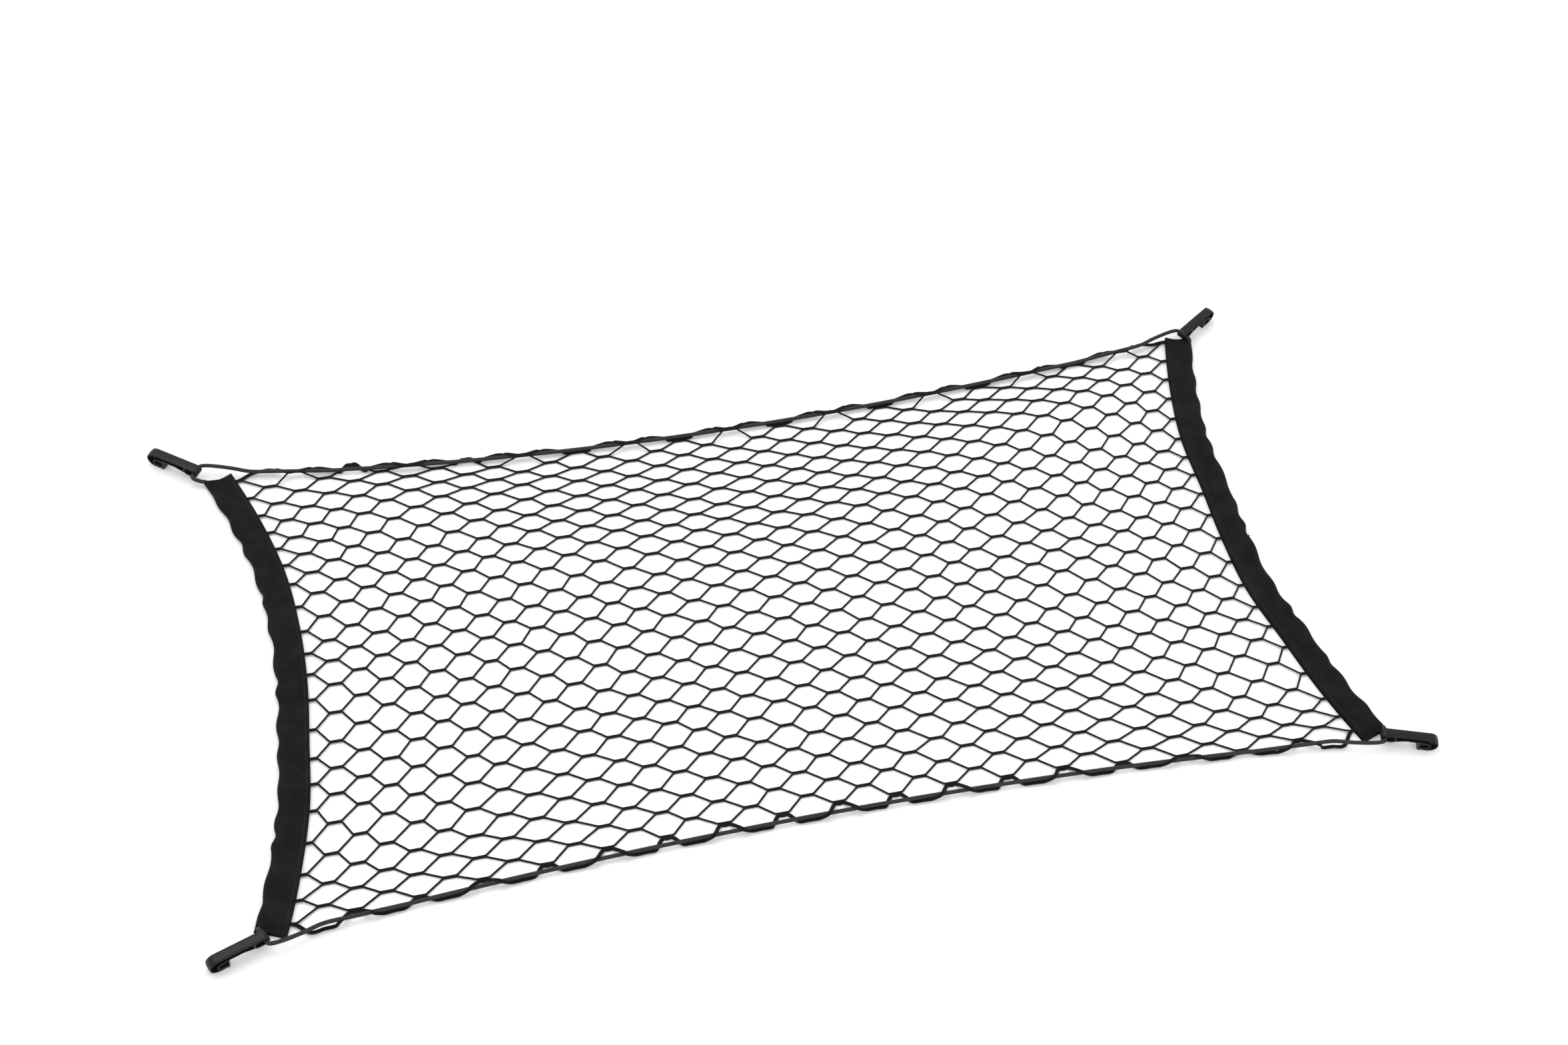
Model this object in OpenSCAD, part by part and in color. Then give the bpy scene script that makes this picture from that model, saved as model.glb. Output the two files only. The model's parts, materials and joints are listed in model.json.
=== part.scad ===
// Elastic cargo net for a car boot, lying flat and stretched to its working shape.
// One loop of elastic cord runs along both long edges of the netting and through
// a folded webbing band at each short edge. At each corner it passes through the
// eye of a moulded snap hook, whose sprung gate keeps it on an anchor eye.
// Frame: X along the net, Y across it, Z up, origin under the middle of the whole net.

/* [Overall] */
// Length over the hook noses
overall_len = 1208; // [1000:4:1400]
// Width over the hook noses
overall_w = 608; // [500:2:720]

/* [Corners] */
// Angle of the back left hook from the long axis
yaw_back_left = 38; // [20:1:45]
// Angle of the back right hook from the long axis
yaw_back_right = 33; // [20:1:45]
// Angle of both front hooks from the long axis
yaw_front = 19; // [10:1:40]
// How far the back left eye sits inside the front left one, along X
inset_left = 4; // [0:1:12]
// How far the back right eye sits inside the front right one, along X
inset_right = 7; // [0:1:12]

/* [Hook] */
// From the cord in the eye to the tip of the nose
hook_reach = 54; // [46:1:66]
// Width of the moulded strip
hook_w = 10; // [8:0.5:13]
// Thickness of the moulded strip
hook_wall = 1.6; // [1.2:0.1:2]
// Height of the nose, back to underside
nose_h = 17.2; // [16:0.2:20]
// Radius of the eye's slot
eye_r = 3.4; // [3:0.1:3.8]
// Wall round the eye
eye_wall = 1.8; // [1.4:0.1:2.2]
// Length of the slot between its end centres
eye_slot = 6; // [5:0.5:8]
// Length of the nose's lower leg behind the round of the nose
leg_len = 6.3; // [5:0.1:8]

/* [Gate] */
// Thickness of the gate's tongue
gate_t = 1.5; // [1.2:0.1:1.7]
// Room between the gate's round end and the inside of the nose
pocket = 5.8; // [5:0.1:7]
// Outer radius of the gate's round end
gate_r = 4.4; // [4:0.1:4.6]
// Rise of the tongue over the eye's centre line
tongue_rise = 0.6; // [0.2:0.1:1]
// Thumb lip's depth below the nose's underside
lip_drop = 0.2; // [0.1:0.1:0.6]
// Room between the thumb lip's foot and the tip of the lower leg
lip_gap = 0.9; // [0.8:0.1:1.4]
// Working clearance between gate and hook
gate_clear = 0.3; // [0.2:0.05:0.4]

/* [Elastic cord] */
// Diameter of the elastic cord
cord_d = 4; // [3.5:0.25:4.5]
// How far the middle of the back run is drawn in
back_sag = 38.5; // [15:0.5:60]
// How much fuller the back run's bow is towards its left end
back_skew = 0.35; // [0:0.05:0.5]
// How far the middle of the front run is drawn in
front_sag = 27.5; // [15:0.5:60]
// Length of the crimped ferrule that joins the cord's two ends
ferrule_len = 12; // [8:1:16]
// Wall of the ferrule
ferrule_wall = 0.4; // [0.3:0.05:0.45]

/* [Webbing bands] */
// Width of the folded band
band_w = 27; // [24:1:30]
// Thickness of one layer of webbing
webbing_t = 1; // [0.8:0.1:1.2]
// Bore of the cord tunnel in the fold
tunnel_d = 6; // [5.8:0.1:6.6]
// How far the middle of the left band is drawn in
left_sag = 47; // [25:1:60]
// How far the middle of the right band is drawn in
right_sag = 41; // [25:1:60]
// Distance of the seam from the band's inner edge
seam_in = 4; // [3:0.5:6]
// Width of a seam thread
thread_w = 0.8; // [0.5:0.1:1.2]
// Height of a seam thread over the webbing
thread_h = 0.3; // [0.2:0.05:0.5]

/* [Netting] */
// Thickness of a netting strand
strand_d = 2.2; // [1.8:0.1:2.6]
// Number of mesh columns along the net, an even number
mesh_columns = 36; // [24:2:44]
// Number of meshes across the net
mesh_rows = 19; // [13:1:23]
// Share of a column's pitch that the joined twin strand takes
twin_share = 0.5; // [0.35:0.05:0.6]
// Depth of the netting's edge inside the fold of a band
tuck = 12; // [10:0.5:13]
// Room above and below a strand inside the fold
strand_clear = 0.15; // [0.1:0.05:0.3]

/* [Hidden] */
$fn = 48;

// Hook profile: u runs from the cord in the eye to the nose, v is up.
eye_ro = eye_r + eye_wall;
nose_r = nose_h / 2;
nose_c = [hook_reach - nose_r, eye_ro - nose_r];
leg_tip = nose_c.x - leg_len;
under_nose = eye_ro - nose_h;
lip_under = under_nose - lip_drop;
eye_z = -lip_under;

// Gate profile, in the hook's coordinates
leg_top = under_nose + hook_wall;
gate_c = [hook_reach - hook_wall - pocket - gate_r, leg_top + gate_clear + gate_r];
lip_front = leg_tip - lip_gap;
lip_len = 3.7;
lip_back = lip_front - lip_len;
root_angle = 35;
root = [
    eye_slot + (eye_ro + gate_clear) * cos(root_angle),
    -(eye_ro + gate_clear) * sin(root_angle)
];
tongue_knee = [eye_slot + 15, tongue_rise];
inner_web_w = 0.6 * hook_w;
wedge_web_w = 0.3 * hook_w;

// Corners, in the order back left, back right, front left, front right
BL = 0;
BR = 1;
FL = 2;
FR = 3;
yaw = [yaw_back_left, yaw_back_right, yaw_front, yaw_front];
side_x = [-1, 1, -1, 1];
side_y = [1, 1, -1, -1];
inset = [inset_left, inset_right, 0, 0];
function reach_x(a) = hook_reach * cos(a) + hook_w / 2 * sin(a);
function reach_y(a) = hook_reach * sin(a) + hook_w / 2 * cos(a);
eye_x = overall_len / 2 - reach_x(yaw_front);
function eye_xy(k) = [
    side_x[k] * (eye_x - inset[k]),
    side_y[k] * (overall_w / 2 - reach_y(yaw[k]))
];
function azimuth(k) = atan2(side_y[k] * sin(yaw[k]), side_x[k] * cos(yaw[k]));
// The pulled cord lies at the rear of the eye's slot
cord_seat = eye_r - cord_d / 2 - gate_clear;
function cord_in_eye(k) = eye_xy(k) - cord_seat * [cos(azimuth(k)), sin(azimuth(k))];
// Unit vector along the eye, towards the long run of cord
function to_long_run(k) = [
    -side_x[k] * sin(yaw[k]),
    side_y[k] * cos(yaw[k])
];

// Webbing bands: arcs through two end points, drawn in towards the net
band_end_offset = [[23, -11], [-6, -12], [6, 12], [-3, 12]];
function band_end(k) = eye_xy(k) + band_end_offset[k];
function radius_of(chord, sag) = (chord * chord / 4 + sag * sag) / (2 * sag);
function unit(v) = v / norm(v);
function band_centre(front, back, sag, side) =
    let (d = unit(back - front), out = side * [d.y, -d.x])
    (front + back) / 2 + out * (radius_of(norm(back - front), sag) - sag);
left_c = band_centre(band_end(FL), band_end(BL), left_sag, -1);
right_c = band_centre(band_end(FR), band_end(BR), right_sag, 1);
left_r = norm(band_end(FL) - left_c);
right_r = norm(band_end(FR) - right_c);
function polar_angle(p, c) = atan2(p.y - c.y, p.x - c.x);
left_from = polar_angle(band_end(FL), left_c);
left_sweep = polar_angle(band_end(BL), left_c) - left_from;
right_from = polar_angle(band_end(BR), right_c);
right_sweep = (polar_angle(band_end(FR), right_c) + 360 - right_from) % 360;
fold_r = tunnel_d / 2 + webbing_t;
netting_z = webbing_t + strand_clear;
band_top = netting_z + strand_d + strand_clear + webbing_t;
flat_from = band_w - tuck;
tunnel_in = band_w / 2 - fold_r;
function left_pt(a, r) = left_c + r * [cos(a), sin(a)];
function right_pt(a, r) = right_c + r * [cos(a), sin(a)];

// Elastic cord
cord_r = cord_d / 2;
cord_z = netting_z + strand_d + strand_clear + cord_r;
cord_sides = 8;
long_rings = 12;
band_rings = 14;
run_start = 55;
straight_in_eye = 6.5;
bend_out = 13;
past_mouth = 0.25;
function bow(p, q, sag, skew, t) =
    p + (q - p) * t + [0, -sag * 4 * t * (1 - t) * (1 + skew * (1 - 2 * t))];
function back_pt(t) = bow(eye_xy(BL), eye_xy(BR), back_sag, back_skew, t);
function front_pt(t) = bow(eye_xy(FL), eye_xy(FR), -front_sag, 0, t);
run_t = run_start / (2 * eye_x);
function along(i, n, from, to) = from + (to - from) * i / (n - 1);
function lift(p, z) = [p.x, p.y, z];
back_run = [for (i = [0:long_rings - 1])
    lift(back_pt(along(i, long_rings, run_t, 1 - run_t)), cord_z)];
front_run = [for (i = [0:long_rings - 1])
    lift(front_pt(along(i, long_rings, 1 - run_t, run_t)), cord_z)];
function in_tunnel(i, sweep) = along(i, band_rings, -past_mouth, sweep + past_mouth);
right_run = [for (i = [0:band_rings - 1])
    lift(right_pt(right_from + in_tunnel(i, right_sweep), right_r - tunnel_in), fold_r)];
left_run = [for (i = [0:band_rings - 1])
    lift(left_pt(left_from + in_tunnel(i, left_sweep), left_r - tunnel_in), fold_r)];
// One leg of the V at a corner, from the eye to the first point of a run
function bend(p, c, q, t) = p * (1 - t) * (1 - t) + c * 2 * t * (1 - t) + q * t * t;
function leg(k, way, target) =
    let (
        e = lift(cord_in_eye(k), eye_z),
        w = way * lift(to_long_run(k), 0),
        first = e + w * straight_in_eye,
        out = e + w * bend_out
    )
    [first, bend(first, out, target, 1 / 3), bend(first, out, target, 2 / 3)];
function reversed(list) = [for (i = [len(list) - 1:-1:0]) list[i]];
function corner(k, long_end, band_mouth, long_first) =
    let (
        a = leg(k, 1, long_end),
        b = leg(k, -1, band_mouth),
        e = [lift(cord_in_eye(k), eye_z)]
    )
    long_first ? concat(reversed(a), e, b) : concat(reversed(b), e, a);
cord_route = concat(
    back_run,
    corner(BR, back_run[long_rings - 1], right_run[0], true),
    right_run,
    corner(FR, front_run[0], right_run[band_rings - 1], false),
    front_run,
    corner(FL, front_run[long_rings - 1], left_run[0], true),
    left_run,
    corner(BL, back_run[0], left_run[band_rings - 1], false)
);
ferrule_at = long_rings + 7 + band_rings / 2 - 1;
ferrule_bore = cord_d + 0.2;

// Netting, as a grid of hexagonal meshes stretched between its four bowed edges.
// Each long edge lies just outside its run of cord, which the edge meshes hold,
// and crosses under the cord to the end of the band near each corner.
edge_out = 5;
corner_draw = 19;
draw_from = 76;
draw_to = 18;
netting_left = left_r + band_w / 2 - tuck;
netting_right = right_r + band_w / 2 - tuck;
corner_in = 0.03;
mesh_edge = [0.006, 0.006];
outline_steps = 40;
function left_edge(t) =
    left_pt(left_from + left_sweep * (corner_in + (1 - 2 * corner_in) * t), netting_left);
function right_edge(t) =
    right_pt(
        right_from + right_sweep * (corner_in + (1 - 2 * corner_in) * (1 - t)),
        netting_right
    );
function clamp(x, lo, hi) = max(lo, min(hi, x));
// How far outside the cord the netting's edge lies at share u of the run
function outside(u) =
    let (from_eye = 2 * eye_x * min(u, 1 - u))
    let (drawn = clamp((draw_from - from_eye) / (draw_from - draw_to), 0, 1))
    edge_out - (edge_out + corner_draw) * drawn;
function front_edge(u) = front_pt(u) - [0, outside(u)];
function back_edge(u) = back_pt(u) + [0, outside(u)];
// Point of the netting at share s of its length and share t of its width
function net_pt(s, t) =
    let (x = left_edge(t).x + (right_edge(t).x - left_edge(t).x) * s)
    let (u = (x + eye_x) / (2 * eye_x))
    [x, front_edge(u).y + (back_edge(u).y - front_edge(u).y) * t];
function in_net(p) = net_pt(
    clamp(p.x, mesh_edge.x, 1 - mesh_edge.x),
    clamp(p.y, mesh_edge.y, 1 - mesh_edge.y)
);
// Shares at which columns and rows lie: the columns are closer together at the
// bands, and the rows at the back, where the meshes are stretched least.
column_ease = 0.0095;
row_loose = 0.47 * mesh_rows;
row_tight = 0.68 * mesh_rows;
row_squeeze = 0.74;
function column_at(i) = i / mesh_columns - column_ease * sin(360 * i / mesh_columns);
function rows_passed(j) =
    let (
        a = min(j, row_loose),
        b = clamp(j - row_loose, 0, row_tight - row_loose),
        c = max(j - row_tight, 0)
    )
    a + b - (1 - row_squeeze) * b * b / (2 * (row_tight - row_loose)) + c * row_squeeze;
function row_at(j) = rows_passed(j) / rows_passed(mesh_rows);
pitch_s = 1 / mesh_columns;
twin_half = pitch_s * twin_share / 2;
strand_s = strand_d / (2 * eye_x);
strand_t = strand_d / (overall_w * 0.85);
// Hexagonal hole of the mesh centred on column i and row j
function mesh_hole(i, j) =
    let (s = column_at(i), top = row_at(j + 0.5), mid = row_at(j), low = row_at(j - 0.5))
    [
        in_net([s - twin_half, top - strand_t / 2]),
        in_net([column_at(i - 1) + twin_half + strand_s, mid]),
        in_net([s - twin_half, low + strand_t / 2]),
        in_net([s + twin_half, low + strand_t / 2]),
        in_net([column_at(i + 1) - twin_half - strand_s, mid]),
        in_net([s + twin_half, top - strand_t / 2])
    ];

// A flat profile stood on its edge, square to the hook's length
module hook_slab(width) {
    rotate([90, 0, 0])
        linear_extrude(height = width, center = true)
            children();
}

module at_corner(k) {
    translate(lift(eye_xy(k), eye_z))
        rotate([0, 0, azimuth(k)])
            children();
}

module slot_shape(r) {
    circle(r = r);
    translate([eye_slot, 0])
        circle(r = r);
    translate([0, -r])
        square([eye_slot, 2 * r]);
}

module hook_body(k) {
    color([0.07, 0.07, 0.07])
        at_corner(k)
            hook_slab(hook_w) {
                difference() {
                    union() {
                        slot_shape(eye_ro);
                        translate([0, eye_ro - hook_wall])
                            square([nose_c.x, hook_wall]);
                    }
                    slot_shape(eye_r);
                }
                difference() {
                    translate(nose_c)
                        circle(r = nose_r);
                    translate(nose_c)
                        circle(r = nose_r - hook_wall);
                    translate([nose_c.x - 2 * nose_r, nose_c.y - nose_r - 1])
                        square([2 * nose_r, 2 * nose_r + 2]);
                }
                translate([leg_tip, under_nose])
                    square([leg_len, hook_wall]);
            }
}

module gate(k) {
    tip_top = gate_c.y + gate_r;
    color([0.09, 0.09, 0.09])
        at_corner(k) {
            hook_slab(hook_w) {
                difference() {
                    polygon([
                        root + [-1, 0.6],
                        tongue_knee + [-5, -1],
                        tongue_knee,
                        tongue_knee + [12, -0.2],
                        [gate_c.x, tip_top],
                        [gate_c.x, tip_top - gate_t],
                        tongue_knee + [12, -0.2 - gate_t],
                        tongue_knee - [0, gate_t],
                        tongue_knee + [-4.4, -1 - gate_t],
                        root + [-0.4, -1.4]
                    ]);
                    translate([eye_slot, 0])
                        circle(r = eye_ro + gate_clear);
                }
                difference() {
                    translate(gate_c)
                        circle(r = gate_r);
                    translate(gate_c)
                        circle(r = gate_r - gate_t);
                    translate([gate_c.x - 2 * gate_r, gate_c.y - gate_r - 1])
                        square([2 * gate_r, 2 * gate_r + 2]);
                }
                translate([lip_back, leg_top + gate_clear])
                    square([gate_c.x - lip_back, gate_t]);
                translate([lip_back, lip_under])
                    square([lip_len, leg_top + gate_clear + gate_t - lip_under]);
                translate([lip_back, lip_under])
                    square([gate_t, tongue_rise - gate_t - lip_under]);
            }
            hook_slab(inner_web_w)
                polygon([
                    [lip_back + 1, tongue_rise - gate_t],
                    [gate_c.x, tip_top - gate_t / 2],
                    gate_c + (gate_r - gate_t / 2) * [cos(45), sin(45)],
                    gate_c + [gate_r - gate_t / 2, 0],
                    gate_c + (gate_r - gate_t / 2) * [cos(45), -sin(45)],
                    gate_c - [0, gate_r - gate_t / 2],
                    [lip_back + 1, leg_top + gate_clear + 1]
                ]);
            hook_slab(wedge_web_w)
                polygon([
                    root + [0.2, -1],
                    tongue_knee + [-4.6, -1.8],
                    tongue_knee - [0, 1],
                    [lip_back + 0.5, tongue_rise - 1],
                    [lip_back + 0.5, -gate_c.x * 0.15],
                    root + [0.8, -2.6]
                ]);
        }
}

// Sweeps a profile (x from the arc's centre, y up) round an arc
module arc_sweep(centre, from, sweep) {
    translate(lift(centre, 0))
        rotate([0, 0, from])
            rotate_extrude(angle = sweep, $fn = 360)
                children();
}

// Folded webbing: cord tunnel at the outer edge, two layers round the netting
module band_profile(inner_r) {
    outer_x = inner_r - band_w;
    fold_x = outer_x + fold_r;
    difference() {
        translate([fold_x, fold_r])
            circle(r = fold_r);
        translate([fold_x, fold_r])
            circle(r = tunnel_d / 2);
        translate([fold_x, -1])
            square([fold_r + 1, 2 * fold_r + 2]);
    }
    translate([fold_x, 0])
        square([inner_r - fold_x, webbing_t]);
    polygon([
        [fold_x, 2 * fold_r],
        [fold_x, 2 * fold_r - webbing_t],
        [outer_x + flat_from, band_top - webbing_t],
        [inner_r, band_top - webbing_t],
        [inner_r, band_top],
        [outer_x + flat_from, band_top]
    ]);
}

module seam_profile(inner_r) {
    translate([inner_r - seam_in - thread_w / 2, band_top])
        square([thread_w, thread_h]);
}

module band_left() {
    color([0.08, 0.08, 0.08])
        arc_sweep(left_c, left_from, left_sweep)
            band_profile(left_r + band_w / 2);
}

module band_right() {
    color([0.08, 0.08, 0.08])
        arc_sweep(right_c, right_from, right_sweep)
            band_profile(right_r + band_w / 2);
}

module seam_left() {
    color([0.12, 0.12, 0.12])
        arc_sweep(left_c, left_from, left_sweep)
            seam_profile(left_r + band_w / 2);
}

module seam_right() {
    color([0.12, 0.12, 0.12])
        arc_sweep(right_c, right_from, right_sweep)
            seam_profile(right_r + band_w / 2);
}

// Row of stitches across the right band, where the webbing's ends overlap
module cross_seam() {
    mid = right_from + right_sweep * 0.45;
    start = right_r - band_w / 2 + flat_from;
    color([0.2, 0.2, 0.2])
        translate(lift(right_c, band_top))
            rotate([0, 0, mid])
                translate([start, -thread_w / 2, 0])
                    cube([tuck - seam_in - thread_w, thread_w, thread_h]);
}

// Closed tube along a looped route
module closed_tube(route, r, sides) {
    n = len(route);
    function at(i) = route[(i + n) % n];
    function heading(i) = unit(unit(at(i + 1) - at(i)) + unit(at(i) - at(i - 1)));
    points = [
        for (i = [0:n - 1])
            let (h = heading(i), across = unit(cross(h, [0, 0, 1])), up = cross(across, h))
            for (j = [0:sides - 1])
                at(i) + r * (cos(360 * j / sides) * across + sin(360 * j / sides) * up)
    ];
    function id(i, j) = (i % n) * sides + j % sides;
    faces = [
        for (i = [0:n - 1])
            for (j = [0:sides - 1])
                [id(i, j), id(i, j + 1), id(i + 1, j + 1), id(i + 1, j)]
    ];
    polyhedron(points = points, faces = faces);
}

module elastic_cord() {
    color([0.1, 0.1, 0.1])
        closed_tube(cord_route, cord_r, cord_sides);
}

module cord_ferrule() {
    a = cord_route[ferrule_at];
    b = cord_route[ferrule_at + 1];
    color([0.6, 0.6, 0.6])
        translate((a + b) / 2)
            rotate([0, 0, atan2(b.y - a.y, b.x - a.x)])
                rotate([0, 90, 0])
                    difference() {
                        cylinder(r = ferrule_bore / 2 + ferrule_wall, h = ferrule_len, center = true);
                        cylinder(r = ferrule_bore / 2, h = ferrule_len + 2, center = true);
                    }
}

module netting() {
    outline = concat(
        [for (i = [0:outline_steps]) net_pt(i / outline_steps, 0)],
        [for (i = [1:outline_steps]) net_pt(1, i / outline_steps)],
        [for (i = [1:outline_steps]) net_pt(1 - i / outline_steps, 1)],
        [for (i = [1:outline_steps - 1]) net_pt(0, 1 - i / outline_steps)]
    );
    color([0.11, 0.1, 0.09])
        translate([0, 0, netting_z])
            linear_extrude(height = strand_d)
                difference() {
                    polygon(outline);
                    for (i = [0:2:mesh_columns])
                        for (j = [0:mesh_rows - 1])
                            polygon(mesh_hole(i, j + 0.5));
                    for (i = [1:2:mesh_columns - 1])
                        for (j = [1:mesh_rows - 1])
                            polygon(mesh_hole(i, j));
                }
}

netting();
band_left();
band_right();
seam_left();
seam_right();
cross_seam();
elastic_cord();
cord_ferrule();
hook_body(BL);  // hook_back_left
hook_body(BR);  // hook_back_right
hook_body(FL);  // hook_front_left
hook_body(FR);  // hook_front_right
gate(BL);  // gate_back_left
gate(BR);  // gate_back_right
gate(FL);  // gate_front_left
gate(FR);  // gate_front_right
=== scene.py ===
"""Looks of the elastic cargo net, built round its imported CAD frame."""

import json
import math

import bmesh
import bpy
import numpy as np
from mathutils import Matrix, Vector


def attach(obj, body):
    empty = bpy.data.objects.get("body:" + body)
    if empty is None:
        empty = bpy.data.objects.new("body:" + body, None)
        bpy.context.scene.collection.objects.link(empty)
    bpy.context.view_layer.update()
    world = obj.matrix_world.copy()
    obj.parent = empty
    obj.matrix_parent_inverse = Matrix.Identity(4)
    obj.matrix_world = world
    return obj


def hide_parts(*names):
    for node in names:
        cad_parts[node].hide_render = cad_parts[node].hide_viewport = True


bl_info = {
    "name": "Elastic cargo net",
    "version": (1, 0, 0),
    "blender": (4, 5, 0),
    "location": "View3D > Sidebar > Cargo net",
    "description": "Builds the netting, elastic cord, webbing bands and snap hooks",
    "category": "Object",
}

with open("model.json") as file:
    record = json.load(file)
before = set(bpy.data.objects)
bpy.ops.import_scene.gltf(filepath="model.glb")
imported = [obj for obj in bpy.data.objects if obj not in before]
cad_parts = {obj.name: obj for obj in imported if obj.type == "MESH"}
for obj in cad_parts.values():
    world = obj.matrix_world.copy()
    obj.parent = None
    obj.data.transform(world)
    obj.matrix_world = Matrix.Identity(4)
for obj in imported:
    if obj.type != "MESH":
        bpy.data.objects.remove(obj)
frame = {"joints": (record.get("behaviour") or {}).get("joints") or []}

MM = 0.001
SEED = 11
CORNERS = {
    "back_left": (-1, 1),
    "back_right": (1, 1),
    "front_left": (-1, -1),
    "front_right": (1, -1),
}


# ---------------------------------------------------------------- properties


def number(name, default, low, high, description):
    """A number of the look; its description gives its unit."""
    return bpy.props.FloatProperty(
        name=name, description=description, default=default, min=low, max=high
    )


def count(name, default, low, high, description):
    return bpy.props.IntProperty(
        name=name, description=description, default=default, min=low, max=high
    )


class NettingLook(bpy.types.PropertyGroup):
    strand: number("Strand", 2.05, 1.0, 3.0, "Diameter of one knitted strand, mm")
    twin_half: number("Twin half length", 6.6, 3.0, 10.0, "Half a joined twin strand, mm")
    twin_apart: number("Twin spacing", 0.7, 0.3, 1.5, "Half the distance between twins, mm")
    step: number("Ring step", 1.2, 0.6, 4.0, "Distance between the rings of a strand, mm")
    bead: number("Stitch relief", 0.13, 0.0, 0.4, "Share by which stitches swell a strand")
    bead_pitch: number("Stitch pitch", 2.4, 1.0, 5.0, "Length of one knitted stitch, mm")
    lie: number("Height", 1.35, 0.9, 3.0, "Height of the strands' centre over the floor, mm")
    uneven: number("Unevenness", 0.55, 0.0, 3.0, "How far joints stray from their grid, mm")
    columns: count("Columns", 36, 8, 60, "Mesh columns along the net")
    rows: count("Rows", 19, 5, 40, "Meshes across the net")


class SelvedgeLook(bpy.types.PropertyGroup):
    bump: number("Bump", 2.6, 2.0, 10.0, "How far the edge strand bulges past the cord, mm")
    bump_back: number("Back bump", 3.4, 2.0, 10.0, "The same along the back edge, mm")
    drawn: number("Drawn", 5.0, 0.0, 7.0, "How far bulges are drawn to a raised joint, mm")
    crosses: number("Crossing", 12.5, 8.0, 16.0, "From a joint to the strand's crossing, mm")
    pair: number("Pair spacing", 0.95, 0.4, 2.0, "Half the distance between edge strands, mm")
    lift: number("Lift", 1.9, 0.0, 4.0, "How far a bulge lies over the netting, mm")
    lift_back: number("Back lift", 4.7, 0.0, 8.0, "The same along the back edge, mm")
    short: number("Short", 1.8, 0.0, 4.0, "From raised back joints to the cord's middle, mm")
    over: number("Over", 8.6, 7.0, 12.0, "Height of the edge strand over the cord, mm")
    under: number("Under", 1.5, 1.0, 4.0, "Height of the edge strand under the cord, mm")


class BandLook(bpy.types.PropertyGroup):
    station: number("Station step", 0.5, 0.3, 4.0, "Distance between cross sections, mm")
    rib_pitch: number("Rib pitch", 2.2, 1.0, 5.0, "Distance between the webbing's ribs, mm")
    rib_depth: number("Rib depth", 0.34, 0.0, 1.0, "Depth of the ribs in a gather, mm")
    gather_pitch: number("Gather pitch", 34.0, 15.0, 80.0, "Distance between gathers, mm")
    gather_out: number("Gather width", 1.3, 0.0, 4.0, "How far a gather moves the fold, mm")
    gather_up: number("Gather height", 1.0, 0.0, 4.0, "How far a gather lifts the top, mm")


class CordLook(bpy.types.PropertyGroup):
    diameter: number("Diameter", 4.0, 2.0, 8.0, "Diameter of the elastic cord, mm")
    step: number("Ring step", 1.6, 0.5, 6.0, "Distance between the rings of the cord, mm")


class HookLook(bpy.types.PropertyGroup):
    bevel: number("Edge radius", 0.4, 0.05, 0.8, "Radius of the moulded edges, mm")
    crown: number("Crown", 0.55, 0.0, 1.5, "How far the strip's back is crowned, mm")


class StageLook(bpy.types.PropertyGroup):
    lens: number("Lens", 56.78, 20.0, 120.0, "Focal length on a 36 mm wide sensor, mm")
    key: number("Key light", 22.0, 0.0, 1000.0, "Power of the large overhead light, W")
    fill: number("Fill light", 5.0, 0.0, 1000.0, "Power of the side light, W")
    sky: number("Surround", 1.15, 0.0, 5.0, "Brightness of the white surround")


# ---------------------------------------------------------------- layout


# Sizes in millimetres, as in the CAD design. Hooks: from the cord to the nose's
# tip, the eye's slot with its wall, and how far the cord sits behind the slot's centre
HOOK_REACH = 54.0
HOOK_W = 10.0
EYE_R = 3.4
EYE_WALL = 1.8
EYE_OUT = EYE_R + EYE_WALL
EYE_SLOT = 6.0
CORD_SEAT = 1.1
# Bands: width, the cord's tunnel, the webbing's thickness, and the flat part's height
BAND_W = 27.0
TUNNEL_R = 3.0
WEB_T = 1.0
FOLD_R = TUNNEL_R + WEB_T
TOP_Z = 4.5
FLAT_FROM = 3.0
# Height of the netting at the bands, and of the cord beside the net
NET_Z = 2.25
CORD_Z = 5.5
# How far from an eye the cord comes down to its height beside the net
CORD_DROP = 130.0
# How far each edge bows in, and how much more of it lies towards the left end
SAG = {"left": 47.0, "right": 41.0, "back": 38.5, "front": 27.5}
SKEW = {"back": 0.35, "front": 0.0}
# How far the back run strays outwards, at even steps from left to right
BACK_STRAY = (0.0, 2.4, 2.6, 1.4, -0.4, -2.0, -2.6, -1.8, 0.0)
# Where a band's arc ends, from the middle of the eye beside it
END_OFFSET = {
    "back_left": (23.0, -11.0),
    "back_right": (-6.0, -12.0),
    "front_left": (6.0, 12.0),
    "front_right": (-3.0, 12.0),
}
# How far a band strays from its arc towards the net, at even steps from its
# front end to its back end, and how much wider than BAND_W it lies on each side
BAND_STRAY = {
    "left": (2.9, 0.9, 0.1, -2.5, -0.2, 2.2, 3.9, 1.8, -0.8),
    "right": (4.0, 3.5, 2.6, 6.0, 3.1, 0.8, 4.6, 3.8, 2.1),
}
BAND_WIDER = {"left": 1.3, "right": 1.1}
# How far the webbing's soft ends reach past the arc's ends, towards the eyes
END_REACH = {"back_left": 2.0, "back_right": 11.0, "front_left": 4.0, "front_right": 4.0}
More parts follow.
